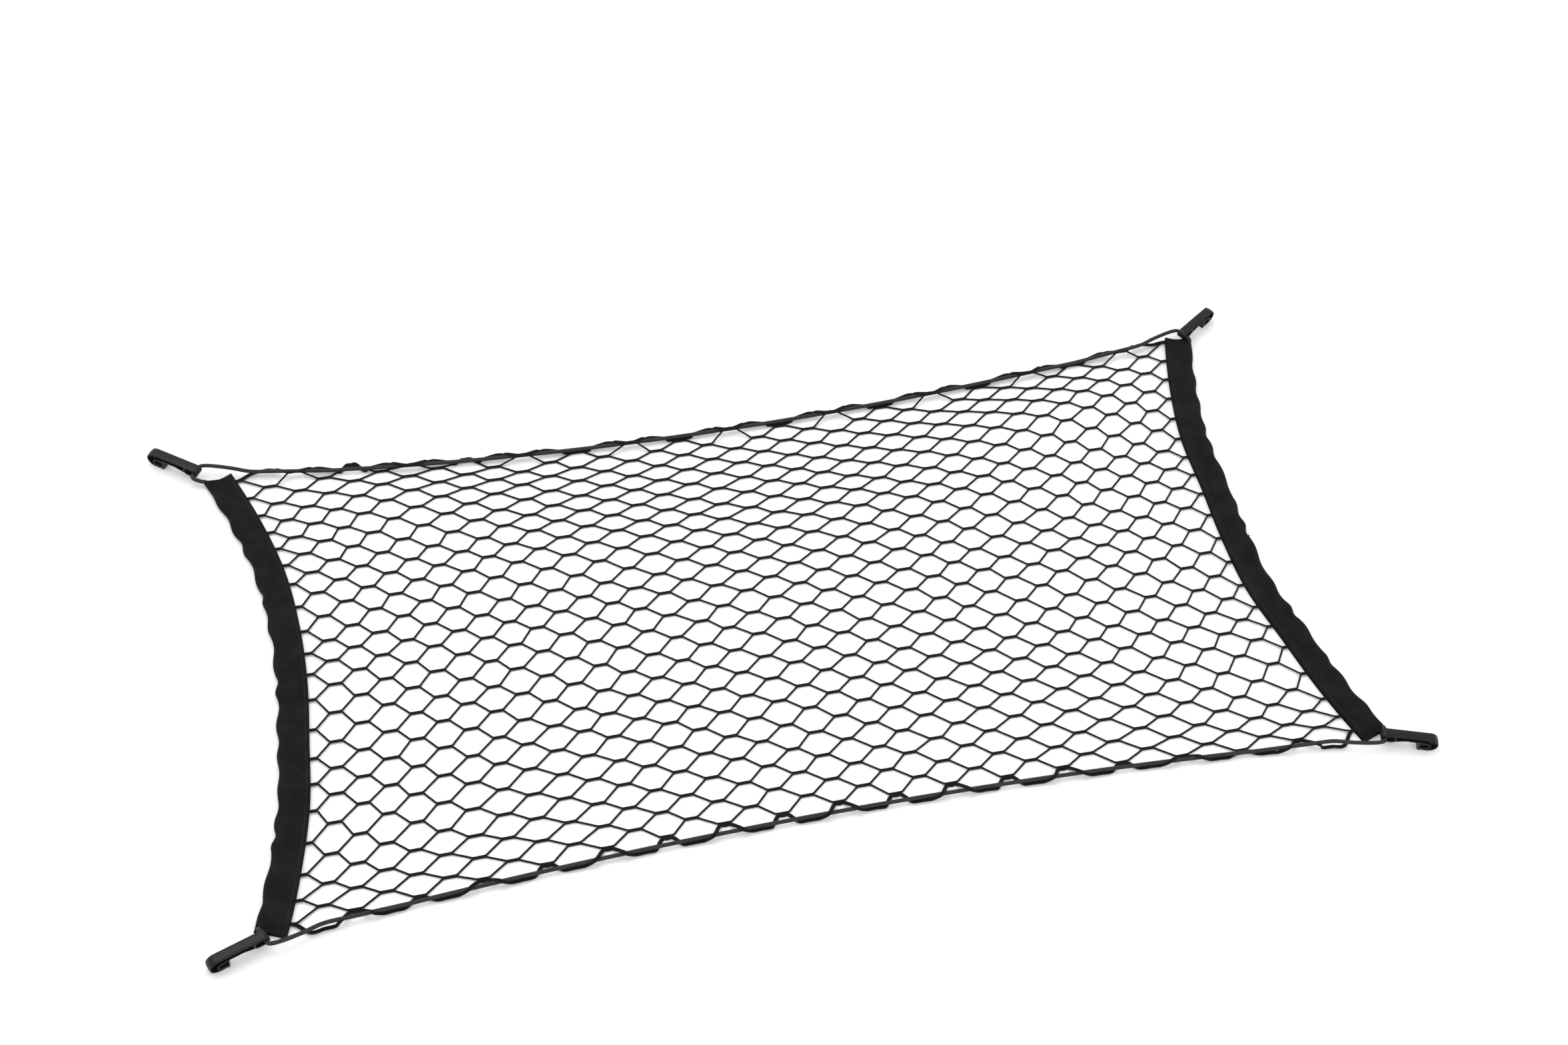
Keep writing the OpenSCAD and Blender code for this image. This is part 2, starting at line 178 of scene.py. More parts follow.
# How far the joints stray from even spacing, (x, y): rows from the front edge
# to the back edge, each from the left band to the right band
NET_STRAY = np.array(
    (
        (
            0.0, 5.1, 7.3, 2.1, 10.7, 5.3, 4.7, 5.4, -4.8, 5.4,
            -15.0, 4.8, -20.6, 4.4, -13.1, -0.1, 0.0, 9.3,
        ),
        (
            0.0, -11.3, -3.0, -10.8, 2.9, -2.9, -0.1, 1.7, -6.7, 3.8,
            -12.6, 2.5, -13.4, -3.1, -4.2, -13.4, 0.0, -15.0,
        ),
        (
            0.0, -8.4, -4.4, -11.5, -2.0, -5.6, -2.1, 1.6, -6.1, 4.2,
            -10.3, 1.2, -9.1, -6.8, -4.8, -15.9, 0.0, -10.9,
        ),
        (
            0.0, -12.8, 0.1, -9.7, 0.0, -7.1, -1.2, 0.3, -3.9, 3.6,
            -5.5, -0.5, -5.0, -9.2, -2.5, -15.7, 0.0, -20.0,
        ),
        (
            0.0, -6.5, -0.5, -8.9, -0.7, -3.6, -3.2, 1.5, -5.9, 3.5,
            -7.1, -0.7, -6.6, -7.3, -2.4, -14.6, 0.0, -20.2,
        ),
        (
            0.0, -13.1, -0.6, -7.0, -2.7, -1.1, -5.9, 2.2, -7.0, 2.1,
            -7.2, -1.4, -7.9, -6.9, -3.6, -16.9, 0.0, -16.7,
        ),
        (
            0.0, -0.4, -2.0, 4.5, -6.6, 11.0, -6.1, 8.7, -5.5, 3.7,
            -2.0, 3.8, 0.1, 2.9, 0.7, -4.1, 0.0, -13.6,
        ),
        (
            0.0, -2.1, -2.1, 18.8, -1.3, 13.7, 0.5, 7.1, 1.6, 3.8,
            -1.3, 3.6, 1.9, 8.3, 6.2, 13.5, 0.0, 0.4,
        ),
        (
            0.0, 0.0, 12.5, 14.2, 14.8, 5.9, 13.3, 4.7, 0.4, 2.1,
            -4.6, 3.6, -6.7, 2.9, -5.5, 5.3, 0.0, 9.2,
        ),
    )
).reshape(9, 9, 2)


def blend(values, share):
    """Smooth value at a share of an evenly spaced list of numbers or vectors."""
    n = len(values) - 1
    k = min(max(int(share * n), 0), n - 1)
    f = share * n - k
    b, c = values[k], values[k + 1]
    a = values[k - 1] if k > 0 else 2 * b - c
    d = values[k + 2] if k < n - 1 else 2 * c - b
    return b + 0.5 * f * (c - a + f * (2 * a - 5 * b + 4 * c - d + f * (3 * b - a - 3 * c + d)))


def joint(name):
    return next(j for j in frame["joints"] if j["name"] == name)


class Corner:
    """One hook's place: the cord in its eye, its heading and its eye's direction."""

    def __init__(self, name):
        swing = joint("swing_" + name)
        self.name = name
        self.side = CORNERS[name]
        self.cord = np.array(swing["pos_m"]) / MM
        axis = np.array(swing["axis"])
        self.heading = np.array([-axis[1], axis[0], 0.0])
        self.across = axis
        self.eye = self.cord + self.heading * CORD_SEAT
        along = self.across * (1 if self.across[1] * self.side[1] > 0 else -1)
        self.to_long_run = along


class Band:
    """A webbing band's arc, from its first to its last end, turning left."""

    def __init__(self, side, corners):
        sign = -1 if side == "left" else 1
        front = self.end(corners["front_" + side])
        back = self.end(corners["back_" + side])
        sag = SAG[side]
        chord = np.linalg.norm(back - front)
        self.r = (chord * chord / 4 + sag * sag) / (2 * sag)
        d = (back - front) / chord
        out = sign * np.array([d[1], -d[0]])
        self.c = (front + back) / 2 + out * (self.r - sag)
        first, last = (front, back) if side == "left" else (back, front)
        self.start = math.atan2(*(first - self.c)[::-1])
        self.sweep = (math.atan2(*(last - self.c)[::-1]) - self.start) % math.tau
        self.length = self.sweep * self.r
        self.sign = sign
        self.side = side

    @staticmethod
    def end(corner):
        return corner.eye[:2] + np.array(END_OFFSET[corner.name])

    def stray(self, share):
        """How far the band strays towards the net at a share of its arc."""
        from_front = share if self.side == "left" else 1 - share
        return blend(BAND_STRAY[self.side], min(max(from_front, 0.0), 1.0))

    def at(self, share, inward):
        """Point at a share of the arc, so far from the middle line towards the net."""
        a = self.start + self.sweep * share
        r = self.r + inward + self.stray(share)
        return self.c + r * np.array([math.cos(a), math.sin(a)])

    def edge_x(self, y, inward):
        """X of the line that far inward, at height y in the plan."""
        r = self.r + inward
        for _ in range(3):
            x = self.c[0] - self.sign * math.sqrt(max(r * r - (y - self.c[1]) ** 2, 0.0))
            turn = (math.atan2(y - self.c[1], x - self.c[0]) - self.start) % math.tau
            share = turn / self.sweep if turn < math.pi else 0.0
            r = self.r + inward + self.stray(share)
        return x


class Layout:
    """All routes of the net, in millimetres in the frame."""

    def __init__(self):
        self.corners = {name: Corner(name) for name in CORNERS}
        self.bands = {side: Band(side, self.corners) for side in ("left", "right")}

    def run(self, edge, t):
        """Point of a long run of cord at share t from left to right."""
        p = self.corners[edge + "_left"].eye[:2]
        q = self.corners[edge + "_right"].eye[:2]
        sign = 1 if edge == "back" else -1
        bow = 4 * t * (1 - t) * (1 + SKEW[edge] * (1 - 2 * t))
        stray = blend(BACK_STRAY, t) if edge == "back" else 0.0
        return p + (q - p) * t + np.array([0, stray - sign * SAG[edge] * bow])

    def cord_y(self, edge, x):
        """Y of a long run of cord at x."""
        p = self.corners[edge + "_left"].eye[0]
        q = self.corners[edge + "_right"].eye[0]
        return self.run(edge, (x - p) / (q - p))[1]


def row_share(j, rows):
    """Share of the width at which row j lies: rows are closer together at the back."""
    loose, tight, squeeze = 0.47 * rows, 0.68 * rows, 0.74

    def passed(k):
        a = min(k, loose)
        b = min(max(k - loose, 0.0), tight - loose)
        c = max(k - tight, 0.0)
        ramp = b - (1 - squeeze) * b * b / (2 * (tight - loose))
        return a + ramp + c * squeeze

    first, last = 0.0145, 0.9875
    return first + (last - first) * passed(j) / passed(rows)


def column_share(i, columns):
    """Share of the length at which column i lies: columns are closer at the bands."""
    draw = 0.0095
    return i / columns - draw * math.sin(math.tau * i / columns)


def net_point(lay, s, t):
    """Point of the netting at share s of its length and t of its width."""
    stray_x, stray_y = blend([blend(row, s) for row in NET_STRAY], t)
    x = y = 0.0
    for _ in range(5):
        left = lay.bands["left"].edge_x(y, BAND_W / 2 + BAND_WIDER["left"])
        right = lay.bands["right"].edge_x(y, BAND_W / 2 + BAND_WIDER["right"])
        x = left + (right - left) * s + stray_x
        front = lay.cord_y("front", x)
        y = front + (lay.cord_y("back", x) - front) * t + stray_y
    return np.array([x, y])


# ---------------------------------------------------------------- mesh helpers


def smooth_path(points, step):
    """Catmull-Rom curve through the points, sampled about every step."""
    p = np.asarray(points, float)
    p = np.vstack([2 * p[0] - p[1], p, 2 * p[-1] - p[-2]])
    out = []
    for k in range(1, len(p) - 2):
        a, b, c, d = p[k - 1 : k + 3]
        n = max(2, int(round(np.linalg.norm(c - b) / step)))
        t = np.linspace(0, 1, n, endpoint=False)[:, None]
        out.append(
            0.5
            * (
                2 * b
                + (c - a) * t
                + (2 * a - 5 * b + 4 * c - d) * t * t
                + (3 * b - a - 3 * c + d) * t**3
            )
        )
    out.append(p[-2][None])
    return np.vstack(out)


def beside(path, distance):
    """The path moved sideways in the plan."""
    d = np.gradient(path[:, :2], axis=0)
    d /= np.maximum(np.linalg.norm(d, axis=1, keepdims=True), 1e-9)
    moved = path.copy()
    moved[:, 0] -= d[:, 1] * distance
    moved[:, 1] += d[:, 0] * distance
    return moved


def linked(name, data):
    """A new object of the scene."""
    obj = bpy.data.objects.new(name, data)
    bpy.context.scene.collection.objects.link(obj)
    return obj


def recalculated(mesh):
    """The mesh with its faces turned outwards."""
    work = bmesh.new()
    work.from_mesh(mesh)
    bmesh.ops.recalc_face_normals(work, faces=work.faces)
    work.to_mesh(mesh)
    work.free()
    return mesh


def line_object(name, paths, closed=False):
    """A mesh of edges only, one polyline for each path."""
    verts, edges = [], []
    for path in paths:
        base = len(verts)
        verts.extend((np.asarray(path) * MM).tolist())
        edges.extend((base + k, base + k + 1) for k in range(len(path) - 1))
        if closed:
            edges.append((base + len(path) - 1, base))
    mesh = bpy.data.meshes.new(name)
    mesh.from_pydata(verts, edges, [])
    return linked(name, mesh)


def baked(obj, inputs, tree):
    """The object with the node tree's result as its plain mesh."""
    modifier = obj.modifiers.new("Nodes", "NODES")
    modifier.node_group = tree
    named = {
        item.name: item.identifier
        for item in tree.interface.items_tree
        if item.item_type == "SOCKET" and item.in_out == "INPUT"
    }
    for name, value in inputs.items():
        modifier[named[name]] = value
    bpy.context.view_layer.update()
    graph = bpy.context.evaluated_depsgraph_get()
    result = bpy.data.meshes.new_from_object(
        obj.evaluated_get(graph), preserve_all_data_layers=True, depsgraph=graph
    )
    if not result.polygons:
        raise RuntimeError(f"{obj.name}: its node tree made no faces")
    old = obj.data
    obj.modifiers.clear()
    obj.data = result
    bpy.data.meshes.remove(old)
    result.name = obj.name
    return obj


def shaded(obj, material):
    """The object, smooth and in one material."""
    obj.data.materials.clear()
    obj.data.materials.append(material)
    obj.data.polygons.foreach_set("use_smooth", [True] * len(obj.data.polygons))
    obj.data.update()
    return obj


# ---------------------------------------------------------------- node trees


def new_tree(name, **sockets):
    """A node tree with these inputs, and its input and output nodes."""
    tree = bpy.data.node_groups.new(name, "GeometryNodeTree")
    tree.interface.new_socket("Geometry", in_out="INPUT", socket_type="NodeSocketGeometry")
    for label, kind in sockets.items():
        tree.interface.new_socket(label, in_out="INPUT", socket_type="NodeSocket" + kind)
    tree.interface.new_socket("Geometry", in_out="OUTPUT", socket_type="NodeSocketGeometry")
    return tree, tree.nodes.new("NodeGroupInput"), tree.nodes.new("NodeGroupOutput")


def resampled(tree, start, step):
    """The lines of the input as curves with a point at every step."""
    curve = tree.nodes.new("GeometryNodeMeshToCurve")
    resample = tree.nodes.new("GeometryNodeResampleCurve")
    resample.mode = "LENGTH"
    tree.links.new(start.outputs["Geometry"], curve.inputs["Mesh"])
    tree.links.new(curve.outputs["Curve"], resample.inputs["Curve"])
    tree.links.new(start.outputs[step], resample.inputs["Length"])
    return resample.outputs["Curve"]


def painted(tree, start, end, geometry):
    """The tree, ended with real instances in the input's material."""
    realize = tree.nodes.new("GeometryNodeRealizeInstances")
    paint = tree.nodes.new("GeometryNodeSetMaterial")
    tree.links.new(geometry, realize.inputs["Geometry"])
    tree.links.new(realize.outputs["Geometry"], paint.inputs["Geometry"])
    tree.links.new(start.outputs["Material"], paint.inputs["Material"])
    tree.links.new(paint.outputs["Geometry"], end.inputs["Geometry"])
    return tree


def maths(tree, operation, a, b=None):
    """The result of a maths node on numbers or outputs."""
    node = tree.nodes.new("ShaderNodeMath")
    node.operation = operation
    for slot, value in ((0, a), (1, b)):
        if value is None:
            continue
        if isinstance(value, (int, float)):
            node.inputs[slot].default_value = value
        else:
            tree.links.new(value, node.inputs[slot])
    return node.outputs[0]


def captured(tree, geometry, name, value):
    """The geometry that carries a value taken at this step, and the value."""
    node = tree.nodes.new("GeometryNodeCaptureAttribute")
    node.capture_items.new("FLOAT", name)
    tree.links.new(geometry, node.inputs["Geometry"])
    tree.links.new(value, node.inputs[name])
    return node.outputs["Geometry"], node.outputs[name]


def stored(tree, geometry, name, value):
    """The geometry with a named attribute of that value."""
    node = tree.nodes.new("GeometryNodeStoreNamedAttribute")
    node.inputs["Name"].default_value = name
    tree.links.new(geometry, node.inputs["Geometry"])
    tree.links.new(value, node.inputs["Value"])
    return node.outputs["Geometry"]


def strand_tree():
    """Tubes with a knitted swell along every line of the input."""
    numbers = {"Radius": "Float", "Step": "Float", "Sides": "Int", "Swell": "Float"}
    tree, start, end = new_tree("Strands", **numbers, Pitch="Float", Material="Material")
    link, new = tree.links.new, tree.nodes.new
    place = new("GeometryNodeSplineParameter")
    radius = new("GeometryNodeSetCurveRadius")
    ring = new("GeometryNodeCurvePrimitiveCircle")
    turn = new("GeometryNodeSplineParameter")
    tube = new("GeometryNodeCurveToMesh")
    tube.inputs["Fill Caps"].default_value = True
    lines, along = captured(
        tree, resampled(tree, start, "Step"), "Along", place.outputs["Length"]
    )
    phase = maths(tree, "DIVIDE", along, start.outputs["Pitch"])
    wave = maths(tree, "SINE", maths(tree, "MULTIPLY", phase, math.tau))
    swell = maths(tree, "ADD", maths(tree, "MULTIPLY", wave, start.outputs["Swell"]), 1.0)
    link(lines, radius.inputs["Curve"])
    link(swell, radius.inputs["Radius"])
    link(start.outputs["Sides"], ring.inputs["Resolution"])
    link(start.outputs["Radius"], ring.inputs["Radius"])
    section, around = captured(tree, ring.outputs["Curve"], "Around", turn.outputs["Factor"])
    link(radius.outputs["Curve"], tube.inputs["Curve"])
    link(section, tube.inputs["Profile Curve"])
    mesh = stored(tree, tube.outputs["Mesh"], "along", along)
    return painted(tree, start, end, stored(tree, mesh, "around", around))


def stitch_tree():
    """Separate stitches, laid end to end along every line of the input."""
    tree, start, end = new_tree(
        "Stitches", Pitch="Float", Length="Float", Radius="Float", Material="Material"
    )
    link, new = tree.links.new, tree.nodes.new
    ball = new("GeometryNodeMeshUVSphere")
    ball.inputs["Segments"].default_value = 6
    ball.inputs["Rings"].default_value = 5
    ball.inputs["Radius"].default_value = 1.0
    size = new("ShaderNodeCombineXYZ")
    tangent = new("GeometryNodeInputTangent")
    align = new("FunctionNodeAlignRotationToVector")
    align.axis = "X"
    place = new("GeometryNodeInstanceOnPoints")
    half = maths(tree, "MULTIPLY", start.outputs["Length"], 0.5)
    link(half, size.inputs["X"])
    link(start.outputs["Radius"], size.inputs["Y"])
    link(start.outputs["Radius"], size.inputs["Z"])
    link(tangent.outputs["Tangent"], align.inputs["Vector"])
    link(resampled(tree, start, "Pitch"), place.inputs["Points"])
    link(ball.outputs["Mesh"], place.inputs["Instance"])
    link(align.outputs["Rotation"], place.inputs["Rotation"])
    link(size.outputs["Vector"], place.inputs["Scale"])
    return painted(tree, start, end, place.outputs["Instances"])


# ---------------------------------------------------------------- materials


# Length of one stitch of a strand and of one turn of the braid, and the webbing's
# distances between ribs and between warp threads, mm
KNIT_PITCH = 2.4
BRAID_PITCH = 3.2
RIB_PITCH = 1.1
WARP_PITCH = 1.3


class Shader:
    """A Principled material with short calls for its procedural parts."""

    def __init__(self, name, colour, roughness, shine=0.5):
        self.material = bpy.data.materials.new(name)
        self.material.use_nodes = True
        self.tree = self.material.node_tree
        self.main = self.tree.nodes["Principled BSDF"]
        self.main.inputs["Base Color"].default_value = (*colour, 1.0)
        self.main.inputs["Roughness"].default_value = roughness
        self.main.inputs["Specular IOR Level"].default_value = shine

    def node(self, kind, **values):
        node = self.tree.nodes.new(kind)
        for name, value in values.items():
            node.inputs[name.replace("_", " ")].default_value = value
        return node

    def link(self, a, b):
        self.tree.links.new(a, b)

    def attribute(self, name):
        node = self.tree.nodes.new("ShaderNodeAttribute")
        node.attribute_name = name
        return node.outputs["Fac"]

    def noise(self, scale, detail=3.0):
        where = self.tree.nodes.new("ShaderNodeTexCoord")
        node = self.node("ShaderNodeTexNoise", Scale=scale, Detail=detail)
        self.link(where.outputs["Object"], node.inputs["Vector"])
        return node.outputs["Fac"]

    def vary(self, factor, dark, light):
        """Base colour from dark to light over the factor's middle part."""
        ramp = self.tree.nodes.new("ShaderNodeValToRGB")
        ramp.color_ramp.elements[0].position = 0.3
        ramp.color_ramp.elements[0].color = (*dark, 1.0)
        ramp.color_ramp.elements[1].position = 0.7
        ramp.color_ramp.elements[1].color = (*light, 1.0)
        self.link(factor, ramp.inputs["Fac"])
        self.link(ramp.outputs["Color"], self.main.inputs["Base Color"])

    def bump(self, height, strength, distance):
        node = self.node("ShaderNodeBump", Strength=strength, Distance=distance)
        self.link(height, node.inputs["Height"])
        self.link(node.outputs["Normal"], self.main.inputs["Normal"])


def plait(s, pitch, turns):
    """Two waves that wind round a strand in opposite directions, turns to each pitch."""
    along = maths(s.tree, "MULTIPLY", s.attribute("along"), math.tau / (pitch * MM))
    around = maths(s.tree, "MULTIPLY", s.attribute("around"), turns * math.tau)
    rising = maths(s.tree, "SINE", maths(s.tree, "ADD", along, around))
    return rising, maths(s.tree, "SINE", maths(s.tree, "SUBTRACT", along, around))


def plaited(s, weave, dark, light, strength, distance):
    """Colour and relief of a plait, with painted shade in its grooves and painted highlight on its
    ridges.
    """
    # Base colour follows the plait's relief: darker in the grooves as painted shade, lighter on
    # the ridges as painted highlight
    half = maths(s.tree, "ADD", maths(s.tree, "MULTIPLY", weave, 0.5), 0.5)
    s.vary(half, dark, light)
    s.bump(weave, strength, distance)
    return s.material


def knit_material():
    s = Shader("Knitted strand", (0.012, 0.009, 0.008), 0.9, 0.12)
    weave = maths(s.tree, "MAXIMUM", *plait(s, KNIT_PITCH, 2))
    # Dark colour is painted shade in the stitches' grooves, light colour painted highlight on
    # their ridges
    return plaited(s, weave, (0.006, 0.0045, 0.004), (0.017, 0.0135, 0.0125), 0.6, 0.0004)


def cord_material():
    s = Shader("Braided sheath", (0.016, 0.014, 0.013), 0.6, 0.3)
    weave = maths(s.tree, "MULTIPLY", *plait(s, BRAID_PITCH, 4))
    # Dark colour is painted shade in the braid's grooves, light colour painted highlight on its
    # ridges
    return plaited(s, weave, (0.010, 0.009, 0.0085), (0.022, 0.020, 0.019), 0.35, 0.0002)


def webbing_material():
    s = Shader("Grosgrain webbing", (0.009, 0.008, 0.008), 0.85, 0.15)
    uv = s.tree.nodes.new("ShaderNodeUVMap")
    uv.uv_map = "cloth"
    parts = s.tree.nodes.new("ShaderNodeSeparateXYZ")
    s.link(uv.outputs["UV"], parts.inputs["Vector"])
    along = maths(s.tree, "MULTIPLY", parts.outputs["X"], math.tau / (RIB_PITCH * MM))
    across = maths(s.tree, "MULTIPLY", parts.outputs["Y"], math.tau / (WARP_PITCH * MM))
    rib = maths(s.tree, "SINE", along)
    slant = maths(s.tree, "ADD", across, maths(s.tree, "MULTIPLY", along, 0.5))
    thread = maths(s.tree, "SINE", slant)
    weave = maths(s.tree, "ADD", rib, maths(s.tree, "MULTIPLY", thread, 0.6))
    # Base colour: painted highlight on the ribs' and threads' tops and painted shade between them,
    # plus random tone from noise
    painted_rib_shade_and_tone = maths(s.tree, "ADD", maths(s.tree, "MULTIPLY", weave, 0.3), s.noise(60.0))
    s.vary(painted_rib_shade_and_tone, (0.002, 0.0019, 0.0019), (0.019, 0.018, 0.018))
    s.bump(weave, 0.9, 0.0004)
    return s.material


def thread_material():
    s = Shader("Sewing thread", (0.016, 0.015, 0.015), 0.6, 0.3)
    s.vary(s.noise(900.0), (0.012, 0.0115, 0.0115), (0.03, 0.029, 0.028))
    return s.material


def plastic_material():
    s = Shader("Moulded plastic", (0.006, 0.006, 0.0062), 0.3, 0.22)
    s.vary(s.noise(120.0), (0.005, 0.005, 0.0052), (0.007, 0.007, 0.0073))
    s.bump(s.noise(1400.0, 5.0), 0.12, 0.0002)
    return s.material


MATERIALS = {
    "knit": knit_material,
    "cord": cord_material,
    "webbing": webbing_material,
    "thread": thread_material,
    "plastic": plastic_material,
}


def material(key):
    name = "net_" + key
    found = bpy.data.materials.get(name)
    if found is None:
        found = MATERIALS[key]()
        found.name = name
    return found


def tree(key, build):
    """The node tree of that name, built once."""
    return bpy.data.node_groups.get(key) or build()


# ---------------------------------------------------------------- netting


# Where the edge strand winds round the cord's outer side, between a bulge and a
# joint: along from the bulge, then (outwards, height) below or above the cord
SIDE_AT = 13.0
SIDE_UNDER = (2.0, 2.4)
SIDE_OVER = (2.3, 7.3)
# How far beyond the joints the back edge's strand lies where both are on the cord
ON_CORD = 0.5


# Share of the net's own slope that a twin strand takes
TILT = 0.22
# How a joint's random stray divides between along and across the net
STRAY_SPLIT = np.array([1.0, 0.7])
# How far front joints lie off their row, towards the net: beside a crossing
# under the cord, and beside one over it
FRONT_UNDER = -1.0
FRONT_OVER = 0.6
# A twin strand: (share of its half length, share of its spacing)
TWIN_SHAPE = ((-1, 1.35), (-0.62, 1.0), (0, 0.95), (0.62, 1.0), (1, 1.35))
TWIN_END = 1.35
# Shares of a single strand between two twins at which it is held straight
STRAIGHT = (0.28, 0.72)
# A bulge of the edge strand: (along, share of its size)
BULGE = ((-5.5, 0.88), (0, 1.0), (5.5, 0.88))


class Lattice:
    """The joints of the netting and the strands that run through them."""

    def __init__(self, lay, look, edge):
        self.lay = lay
        self.look = look
        self.edge = edge
        self.rng = np.random.default_rng(SEED)
        self.stray = self.rng.normal(0, look.uneven, (look.columns + 1, 2 * look.rows + 1, 2))
        self.lengths = self.rng.normal(1, 0.06, (look.columns + 1, 2 * look.rows + 1))

    def joint(self, i, j):
        """Centre, half length, slope and height of the twin strand at column i, row j."""
        rows, columns = self.look.rows, self.look.columns
        s = column_share(i, columns)
        p = net_point(self.lay, s, row_share(j, rows))
        ahead = net_point(self.lay, column_share(min(i + 1, columns), columns), row_share(j, rows))
        back = net_point(self.lay, column_share(max(i - 1, 0), columns), row_share(j, rows))
        slope = TILT * (ahead[1] - back[1]) / (ahead[0] - back[0])
        k = int(round(2 * j))
        at_edge = k in (0, 2 * rows)
        at_band = i in (0, columns)
        if not at_edge and not at_band:
            p = p + self.stray[i, k] * STRAY_SPLIT
        z = self.look.lie
        if at_band:
            z = NET_Z
        elif i in (1, columns - 1):
            z = (self.look.lie + NET_Z) / 2
        under = i % 4 == 0
        if at_edge and not at_band:
            if k == 0:
                p[1] += FRONT_UNDER if under else FRONT_OVER
                slope = 0.0
            elif not under:
                p[1] = self.lay.cord_y("back", p[0]) - self.edge.short
                z = self.edge.over - 0.6
        return p, self.look.twin_half * self.lengths[i, k], slope, z

    def strand(self, low, rising):
        """Control points of the strand that zigzags between rows low and low + half."""
        points = []
        for i in range(self.look.columns + 1):
            even = i % 2 == 0
            j = (low if rising else low + 1) if even else low + 0.5
            p, half, slope, z = self.joint(i, j)
            side = self.look.twin_apart * (1 if even == rising else -1)
            for share, spread in TWIN_SHAPE:
                x = half * share
                points.append((p[0] + x, p[1] + slope * x + side * spread, z))
            if i < self.look.columns:
                ahead = self.joint(i + 1, low + 0.5 if even else (low if rising else low + 1))
                a = np.array(points[-1])
                b = np.array(
                    [ahead[0][0] - ahead[1], ahead[0][1] - side * TWIN_END, ahead[3]]
                )
                points += [tuple(a + (b - a) * share) for share in STRAIGHT]
        return np.array(points)

    def edge_end(self, i, p, sign):
        """Where the edge strand comes out from under a band."""
        inward = 1 if i == 0 else -1
        ends = [
            (p[0] - inward * 8, p[1] - sign * 1.5, NET_Z),
            (p[0] + inward * 4, p[1] + sign * 0.5, NET_Z),
        ]
        return ends if i == 0 else ends[::-1]

    def edge_joint(self, i, joint, which, sign):
        """The edge strand beside a joint, with its crossings of the cord."""
        p, half, _, z = joint
        under = i % 4 == 0
        wound = under or which == "front"
        beyond = self.edge.pair + self.look.twin_apart + 0.4 if wound else ON_CORD
        points = [(p[0] + k * half, p[1] + sign * beyond, z) for k in (-0.75, 0, 0.75)]
        if not wound:
            return points
        level = self.edge.under if under else self.edge.over
        before, after = (
            (p[0] + e, self.lay.cord_y(which, p[0] + e), level)
            for e in (-self.edge.crosses, self.edge.crosses)
        )
        return [before, *points, after]

    def edge_bulge(self, i, x, which, sign):
        """The edge strand outside the cord, between two joints."""
        drawn = self.edge.drawn
        if which == "front":
            bump, lift = self.edge.bump, self.edge.lift
            drawn = {1: drawn, self.look.columns - 1: -drawn}.get(i, 0.0)
        else:
            bump, lift = self.edge.bump_back, self.edge.lift_back
            drawn = drawn if (i + 1) % 4 == 2 else -drawn
        out = bump * float(self.rng.uniform(0.85, 1.1))
        before, after = (SIDE_UNDER if (i + k) % 4 == 0 else SIDE_OVER for k in (-1, 1))
        shape = [
            (-SIDE_AT, *before),
            *((drawn + dx, out * share, self.look.lie + lift * share) for dx, share in BULGE),
            (SIDE_AT, *after),
        ]
        return [(x + dx, self.lay.cord_y(which, x + dx) + sign * away, z) for dx, away, z in shape]

    def selvedge(self, which):
        """Control points of the double edge strand that winds round the cord."""
        sign = -1 if which == "front" else 1
        row = 0 if which == "front" else self.look.rows
        last = self.look.columns
        joints = {i: self.joint(i, row) for i in range(0, last + 1, 2)}
        points = []
        for i in range(last + 1):
            if i in (0, last):
                points += self.edge_end(i, joints[i][0], sign)
            elif i in joints:
                points += self.edge_joint(i, joints[i], which, sign)
            else:
                x = (joints[i - 1][0][0] + joints[i + 1][0][0]) / 2
                points += self.edge_bulge(i, x, which, sign)
        return np.array(points)


def build_netting(props):
    lay = Layout()
    look = props.netting
    lattice = Lattice(lay, look, props.selvedge)
    fine = look.step * 0.9
    groups = {"netting_front": [], "netting_middle": [], "netting_back": []}
    names = list(groups)
    for low in range(look.rows):
        key = names[min(3 * low // look.rows, 2)]
        for rising in (True, False):
            groups[key].append(smooth_path(lattice.strand(low, rising), fine))
    for which, key in (("front", "netting_front"), ("back", "netting_back")):
        line = smooth_path(lattice.selvedge(which), fine)
        for side in (-1, 1):
            groups[key].append(beside(line, side * props.selvedge.pair))
    made = []
    for name, paths in groups.items():
        obj = baked(
            line_object(name, paths),
            {
                "Radius": look.strand / 2 * MM,
                "Step": look.step * MM,
                "Sides": 5,
                "Swell": look.bead,
                "Pitch": look.bead_pitch * MM,
                "Material": material("knit"),
            },
            tree("Strands", strand_tree),
        )
        shaded(obj, material("knit"))
        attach(obj, "net")
        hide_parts("netting")
        made.append(obj)
    return made


# ---------------------------------------------------------------- elastic cord


def bend(p, c, q, t):
    """Point at t of a curve from p to q, drawn towards c."""
    return p * (1 - t) ** 2 + c * 2 * t * (1 - t) + q * t * t


